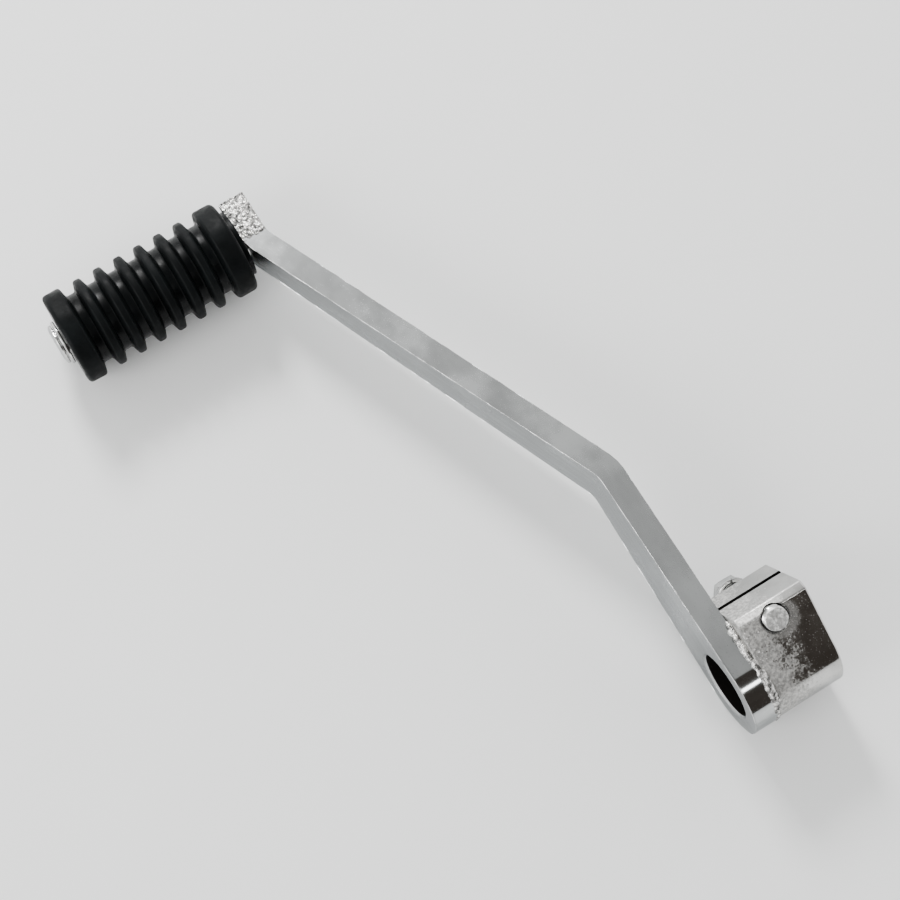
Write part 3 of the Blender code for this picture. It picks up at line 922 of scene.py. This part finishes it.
def make_hub_weld(look):
    """The bead between the hub and the arm: a rod laid round the hub, rippled as weld metal sets."""
    shape = bpy.context.scene.lever_shape
    bead = divided_rod("hub_weld_bead", 20, 420)
    level = ARM_INNER_Y + 0.0002

    def laid(place):
        """Where a point of the straight rod goes."""
        share = place.z + 0.5
        centre, outward, shift = hub_weld_path(share)
        ripple = abs(math.sin(share * BEAD_RIPPLES * math.pi + 1.6 * math.sin(share * 21)))
        ends = min(1.0, 22 * share + 0.25, 22 * (1 - share) + 0.25)
        wander = lumps(Vector((share * 9, 0.3, 0)), 1.0, 2)
        radius = shape.weld_radius * ends * (0.72 + 0.3 * ripple + 0.2 * wander)
        across, up = place.x * radius, place.y * radius
        return centre + outward * across + Vector((0, level + shift - up + 0.0003 * wander, 0))

    move_points(bead, laid)
    modify(bead, "SUBSURF", levels=1, render_levels=1)
    roughen(bead, 0.00016, 0.0007)
    settle(bead, angle=180)
    dress(bead, look, "lever", "weld_metal", "hub_weld")


def spatter_places(count):
    """Where spatter stuck, in hub axes: thick by the weld on the cheek, thin over the barrel."""
    places = []
    for index in range(count):
        draw = [noise.cell(Vector((index * 1.7 + 0.5, 7.1 * k + 0.5, 0.5))) * 0.5 + 0.5 for k in range(3)]
        reach = HUB_LENGTH - 0.0006 - 0.0095 * draw[0] ** 2.2
        size = 0.00009 + 0.00017 * draw[1] ** 3
        if index % 4:
            places.append((Vector((HUB_RADIUS, 0.0138 * draw[2] - 0.0005, reach)), size))
        else:
            angle = 1.9 * draw[2]
            outward = Vector((math.cos(angle), -math.sin(angle), 0))
            places.append((outward * HUB_RADIUS + Vector((0, 0, reach)), size))
    return places


def make_spatter(look):
    """Small frozen drops round the weld, each half sunk in the hub."""
    shape = bpy.context.scene.lever_shape
    drops = []
    deselect_all()
    for place, size in spatter_places(shape.spatter):
        bpy.ops.mesh.primitive_ico_sphere_add(subdivisions=2, radius=size, location=place)
        drops.append(added("drop"))
    for drop in drops:
        drop.select_set(True)
    bpy.context.view_layer.objects.active = drops[0]
    bpy.ops.object.join()
    bpy.ops.object.transform_apply(location=True, rotation=True, scale=True)
    spatter = added("hub_spatter")
    roughen(spatter, 0.00004, 0.0003)
    settle(spatter, HUB_AXES, 180)
    dress(spatter, look, "lever", "plated_steel")


def make_tip_weld(look):
    """The rough pad of weld over the arm's tip, where the pin is held."""
    deselect_all()
    bpy.ops.mesh.primitive_cube_add(size=1)
    pad = added("tip_weld_pad")
    with editing(pad):
        bpy.ops.mesh.select_all(action="SELECT")
        bpy.ops.mesh.subdivide(number_cuts=63)
    fade_from = 0.62 * PAD_LENGTH

    def laid(place):
        """Where a point of the cut block goes."""
        x = TIP_X - 0.0001 + (place.x + 0.5) * PAD_LENGTH
        middle = arm_plan(x)[0]
        top = arm_side(max(x, TIP_X + 0.0006))[1]
        fade = max(0.0, (x - TIP_X - fade_from) / (PAD_LENGTH - fade_from))
        ragged = 0.35 * lumps(Vector((x, place.y * 0.006, 0.1)), 0.0012, 2)
        proud = 0.00022 - 0.0009 * max(0.0, fade + ragged * fade - 0.35)
        side = place.y * (ARM_THICKNESS + 2 * proud)
        depth = (0.5 - place.z) * PAD_DEPTH
        return Vector((x, middle + side, top + proud - depth))

    move_points(pad, laid)
    roughen(pad, 0.00022, 0.0009)
    roughen(pad, 0.00012, 0.0004, 2)
    settle(pad, angle=180)
    dress(pad, look, "lever", "weld_metal")


def make_plug_weld(look):
    """The plug weld that closes the pin's hole on the arm's inner face."""
    crown = [(0, 0.0004), (PLUG_RADIUS - 0.0006, 0.0003)]
    profile = filleted(crown + [(PLUG_RADIUS, -PLUG_DEPTH), (0, -PLUG_DEPTH)], [0, 0.0005, 0, 0])
    plug = spun("plug_weld", profile, TURNED_STEPS)
    with editing(plug):
        bpy.ops.mesh.select_all(action="SELECT")
        bpy.ops.mesh.subdivide(number_cuts=3)
    roughen(plug, 0.0003, 0.0022)
    roughen(plug, 0.0001, 0.0006)
    place = Matrix.Translation((PEG_PLACE.x, PEG_PLACE.y + ARM_THICKNESS, PEG_PLACE.z))
    settle(plug, place @ Matrix.Rotation(-math.pi / 2, 4, "X"), 180)
    dress(plug, look, "lever", "weld_metal", "peg_weld")


# ---- Toe peg ------------------------------------------------------------------------------------


def grip_profile(low, high):
    """The rubber's section: a collar, then two round-edged flanges with rounded ribs between."""
    shape = bpy.context.scene.lever_shape
    flange, crest, groove = 0.0118, 0.0115, shape.groove_radius
    bore = 0.0043
    outer_flange, inner_flange = 0.0048, 0.0052
    collar, flange_low = 0.0086, low + 0.0015
    top_side, bottom_side = high - outer_flange, flange_low + inner_flange
    rib_top, rib_base = 0.0018, 0.0034
    pitch = (top_side - bottom_side + rib_top) / (shape.rib_count + 1)
    points = [
        (bore, low), (collar, low), (collar - 0.0003, flange_low), (flange, flange_low),
        (flange, bottom_side), (groove, bottom_side + 0.0006),
    ]
    radii = [0.0004, 0.0004, 0.0004, 0.0011, 0.0008, 0.0007]
    for rib in range(shape.rib_count):
        middle = bottom_side - rib_top / 2 + pitch * (rib + 1)
        points += [
            (groove, middle - rib_base / 2), (crest, middle - rib_top / 2),
            (crest, middle + rib_top / 2), (groove, middle + rib_base / 2),
        ]
        radii += [0.0006, 0.0007, 0.0007, 0.0006]
    points += [(groove, top_side - 0.0006), (flange, top_side), (flange, high), (bore, high)]
    radii += [0.0007, 0.0008, 0.0011, 0.0004]
    return filleted(points, radii, steps=5)


def make_grip(look):
    """The toe rubber: its section spun once, with the slight unevenness of a moulding."""
    low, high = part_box("toe_rubber")
    near, far = PEG_PLACE.y - high.y, PEG_PLACE.y - low.y
    grip = spun("toe_grip", grip_profile(near, far), GRIP_STEPS)
    roughen(grip, 0.00007, 0.006, 2)
    settle(grip, PEG_AXES, 60)
    dress(grip, look, "toe_peg", "black_rubber", "toe_rubber")


def make_pin(look):
    """The pin that the rubber turns on, its head peened over and uneven."""
    low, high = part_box("peg_pin")
    start, end = PEG_PLACE.y - high.y, PEG_PLACE.y - low.y
    shank, head, thickness = 0.004, 0.0051, 0.0009
    points = [
        (0, start), (shank, start), (shank, end - thickness), (head, end - thickness),
        (head, end - 0.0003), (0.0036, end + 0.0001), (0, end + 0.0001),
    ]
    profile = filleted(points, [0, 0.0003, 0, 0.0002, 0.0003, 0.0004, 0])
    pin = spun("peg_pin_headed", profile, TURNED_STEPS)
    with editing(pin):
        select_edges(pin, lambda edge: min(vert.co.z for vert in edge.verts) > end - 2 * thickness)
        bpy.ops.mesh.subdivide(number_cuts=2)
    roughen(pin, 0.00016, 0.0016, 2)
    settle(pin, PEG_AXES, 45)
    dress(pin, look, "lever", "bright_steel", "peg_pin")


def make_peg_washer(look):
    """The flat washer under the pin's head."""
    low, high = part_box("peg_washer")
    near, far = PEG_PLACE.y - high.y, PEG_PLACE.y - low.y
    inner, outer = 0.0043, 0.0056
    points = [(inner, near), (outer, near), (outer, far), (inner, far)]
    profile = filleted(points, [0.0001, 0.00025, 0.00025, 0.0001], steps=3)
    washer = spun("peg_end_washer", profile, TURNED_STEPS)
    settle(washer, PEG_AXES, 45)
    dress(washer, look, "lever", "bright_steel", "peg_washer")


# ---- Pinch bolt ---------------------------------------------------------------------------------


def make_shank():
    """The bolt's shank: threaded at its tip's end, with the tip's edge chamfered."""
    pitch = bpy.context.scene.lever_shape.thread_pitch
    shank = divided_rod("pinch_bolt_body", 40, 260)
    whole = HEAD_LOW + 0.001 - BOLT_TIP

    def threaded(place):
        """Where a point of the plain rod goes."""
        run = (place.z + 0.5) * whole
        angle = math.atan2(place.y, place.x)
        phase = (run / pitch - angle / math.tau) % 1.0
        depth = THREAD_DEPTH * abs(2 * phase - 1)
        start = min(1.0, max(0.0, (THREAD_LENGTH - run) / 0.001))
        chamfer = max(0.0, 0.00025 - run)
        reach = min(BOLT_RADIUS - depth * start, BOLT_RADIUS - chamfer)
        return Vector((math.cos(angle) * reach, math.sin(angle) * reach, BOLT_TIP + run))

    move_points(shank, threaded)
    return shank


def make_hexagon():
    """The bolt's head: a hexagon with its corners chamfered by a turned shape."""
    deselect_all()
    bpy.ops.mesh.primitive_cylinder_add(
        vertices=6, radius=HEAD_FLATS / math.sqrt(3), depth=HEAD_HIGH - HEAD_LOW,
        location=(0, 0, (HEAD_LOW + HEAD_HIGH) / 2),
    )
    head = added("hexagon")
    bpy.ops.object.transform_apply(location=True)
    corner, crown = HEAD_FLATS / 2 + 0.0007, HEAD_HIGH + 0.00015
    profile = [
        (0, HEAD_LOW - 0.001), (corner, HEAD_LOW - 0.001), (corner, HEAD_HIGH - 0.0004),
        (0.0036, crown), (0, crown),
    ]
    cut(head, spun("head_chamfer", profile, 72), "INTERSECT")
    modify(head, "BEVEL", width=0.00012, segments=2, limit_method="ANGLE", angle_limit=math.radians(35))
    return head


def make_bolt(look):
    """The pinch bolt: its threaded shank and its hexagon head in one."""
    bolt = make_shank()
    cut(bolt, make_hexagon(), "UNION")
    settle(bolt, BOLT_AXES, 30)
    dress(bolt, look, "bolt", "bright_steel", "pinch_bolt")


def make_spring_washer(look):
    """The split washer under the bolt's head: a square ring spun short of a full turn."""
    inner, outer = 0.0033, 0.0046
    corners = [(inner, WASHER_LOW), (outer, WASHER_LOW), (outer, WASHER_HIGH), (inner, WASHER_HIGH)]
    section = filleted(corners, [0.0001] * 4, steps=2)
    deselect_all()
    bpy.ops.mesh.primitive_circle_add(vertices=len(section), radius=0.01, fill_type="NGON")
    ring = added("split_washer")
    for vertex, (radius, height) in zip(ring.data.vertices, section):
        vertex.co = (radius, 0, height)
    gap = 0.17
    with editing(ring):
        bpy.ops.mesh.select_all(action="SELECT")
        bpy.ops.mesh.spin(steps=72, angle=math.tau - gap, center=(0, 0, 0), axis=(0, 0, 1))
    settle(ring, BOLT_AXES @ Matrix.Rotation(gap / 2, 4, "Z"), 35)
    dress(ring, look, "washer", "bright_steel", "spring_washer")


# ---- Stage --------------------------------------------------------------------------------------


def direction(azimuth, elevation):
    """Unit vector from the lever towards a place seen at this azimuth and elevation, in degrees."""
    a, e = math.radians(azimuth), math.radians(elevation)
    return Vector((math.sin(a) * math.cos(e), -math.cos(a) * math.cos(e), math.sin(e)))


def face_towards(obj, target):
    """Turns a light or a camera towards a place."""
    obj.rotation_euler = (Vector(target) - obj.location).to_track_quat("-Z", "Y").to_euler()


def soft_light(name, place, target, size, power):
    """A round area light of this width in metres and power in watts."""
    light = bpy.data.lights.new(name, "AREA")
    light.shape = "DISK"
    light.size = size
    light.energy = power
    obj = bpy.data.objects.new(name, light)
    bpy.context.scene.collection.objects.link(obj)
    obj.location = place
    face_towards(obj, target)


def make_world():
    """Pale surroundings: bright low down, greyer overhead, and dark in two places past the hub."""
    world = bpy.data.worlds.new("pale_room")
    bpy.context.scene.world = world
    world.use_nodes = True
    tree = world.node_tree
    towards = tree.nodes.new("ShaderNodeTexCoord").outputs["Generated"]
    up = part_of(tree, towards, "Z")
    colour = blend_colour(tree, spread(tree, up, 0.52, 0.76), ROOM_PALE, ROOM_OVERHEAD)
    colour = blend_colour(tree, spread(tree, up, 0.80, 0.94), colour, ROOM_ZENITH)
    for middle, starts, full in DARK_PLACES:
        near = vector_maths(tree, "DOT_PRODUCT", towards, Vector(middle).normalized(), "Value")
        colour = blend_colour(tree, spread(tree, near, starts, full), colour, ROOM_DARK)
    background = tree.nodes["Background"]
    tree.links.new(colour, background.inputs["Color"])
    background.inputs["Strength"].default_value = ROOM_STRENGTH


def make_stage():
    """Floor, surroundings, soft lights and the camera."""
    finish = bpy.context.scene.lever_finish
    deselect_all()
    bpy.ops.mesh.primitive_plane_add(size=6, location=(0, 0, FLOOR_Z))
    floor = added("floor_sheet")
    floor.data.materials.append(pale_floor("pale_floor", finish.floor))
    make_world()
    middle = VIEW_MIDDLE
    soft_light("key_light", middle + Vector((-0.80, 0.10, 0.58)), middle, 0.26, 12.0)
    soft_light("edge_light", middle + Vector((0.02, -0.80, 0.52)), middle, 0.5, 5.0)
    soft_light("strip_light", Vector((0.36, 0.13, 0.60)), (0, -0.02, 0), 0.10, 0.25)
    camera = bpy.data.cameras.new("camera")
    camera.sensor_width = 36
    camera.lens = VIEW_LENS
    camera.clip_start = 0.01
    seen_from = bpy.data.objects.new("camera", camera)
    bpy.context.scene.collection.objects.link(seen_from)
    seen_from.location = middle + direction(VIEW_AZIMUTH, VIEW_ELEVATION) * VIEW_DISTANCE
    face_towards(seen_from, middle)
    bpy.context.scene.camera = seen_from


# ---- Operators ----------------------------------------------------------------------------------


class LEVER_OT_arm(bpy.types.Operator):
    """Model the bent, tapered arm"""

    bl_idname = "lever.arm"
    bl_label = "Arm"

    def execute(self, context):
        finish = context.scene.lever_finish
        look = plated_steel(
            "plated_arm", finish.plating, 0.24, shine=eye_shine, painted_shade=eye_bore_painted_shade, streaks=rolling_streaks
        )
        make_arm(look)
        return {"FINISHED"}


class LEVER_OT_hub(bpy.types.Operator):
    """Model the split clamp hub and the spatter on it"""

    bl_idname = "lever.hub"
    bl_label = "Clamp hub"

    def execute(self, context):
        finish = context.scene.lever_finish
        look = plated_steel(
            "plated_hub", finish.hub_plating, 0.12, dark=0.8, pit_amount=0.9, bump=0.00002,
            wave=420.0, blotch=160.0, dull=hub_heat_and_bolt_highlight, painted_shade=slit_walls_painted_shade,
        )
        make_hub(look)
        make_spatter(look)
        return {"FINISHED"}


class LEVER_OT_welds(bpy.types.Operator):
    """Lay the bead round the hub, the pad over the tip and the plug behind the pin"""

    bl_idname = "lever.welds"
    bl_label = "Welds"

    def execute(self, context):
        look = weld_metal("weld_bead", context.scene.lever_finish.weld)
        make_hub_weld(look)
        make_tip_weld(look)
        make_plug_weld(look)
        return {"FINISHED"}


class LEVER_OT_peg(bpy.types.Operator):
    """Model the toe rubber with its pin and washer"""

    bl_idname = "lever.peg"
    bl_label = "Toe peg"

    def execute(self, context):
        finish = context.scene.lever_finish
        make_grip(moulded_rubber("toe_rubber_skin", finish.rubber))
        look = plated_steel(
            "bright_pin", finish.bright, 0.14, dark=0.75, pit_amount=0.5, bump=0.00008, wave=700.0
        )
        make_pin(look)
        make_peg_washer(look)
        return {"FINISHED"}


class LEVER_OT_bolt(bpy.types.Operator):
    """Model the pinch bolt and its split washer"""

    bl_idname = "lever.bolt"
    bl_label = "Pinch bolt"

    def execute(self, context):
        finish = context.scene.lever_finish
        look = plated_steel(
            "bright_bolt", finish.bright, 0.20, dark=0.8, pit_amount=0.3, bump=0.00003, wave=500.0,
            dull=tip_wear, dulled_colour=(0.80, 0.80, 0.78),
        )
        make_bolt(look)
        make_spring_washer(look)
        return {"FINISHED"}


class LEVER_OT_stage(bpy.types.Operator):
    """Set out the floor, the light and the camera"""

    bl_idname = "lever.stage"
    bl_label = "Stage"

    def execute(self, context):
        make_stage()
        return {"FINISHED"}


class LEVER_PT_panel(bpy.types.Panel):
    """Lists the lever's settings and pieces"""

    bl_label = "Gear shift lever"
    bl_idname = "LEVER_PT_panel"
    bl_space_type = "VIEW_3D"
    bl_region_type = "UI"
    bl_category = "Gear lever"

    def draw(self, context):
        layout = self.layout
        for group in (context.scene.lever_shape, context.scene.lever_finish):
            box = layout.box()
            for name in group.bl_rna.properties.keys():
                if name not in {"rna_type", "name"}:
                    box.prop(group, name)
        for operator in OPERATORS:
            layout.operator(operator.bl_idname)


OPERATORS = (
    LEVER_OT_stage,
    LEVER_OT_arm,
    LEVER_OT_hub,
    LEVER_OT_welds,
    LEVER_OT_peg,
    LEVER_OT_bolt,
)
CLASSES = (LeverShape, LeverFinish, *OPERATORS, LEVER_PT_panel)


def register():
    for item in CLASSES:
        bpy.utils.register_class(item)
    bpy.types.Scene.lever_shape = PointerProperty(type=LeverShape)
    bpy.types.Scene.lever_finish = PointerProperty(type=LeverFinish)


def unregister():
    del bpy.types.Scene.lever_finish
    del bpy.types.Scene.lever_shape
    for item in reversed(CLASSES):
        bpy.utils.unregister_class(item)


def main():
    """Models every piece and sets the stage."""
    register()
    bpy.ops.lever.stage()
    bpy.ops.lever.arm()
    bpy.ops.lever.hub()
    bpy.ops.lever.welds()
    bpy.ops.lever.peg()
    bpy.ops.lever.bolt()


if __name__ == "__main__":
    main()
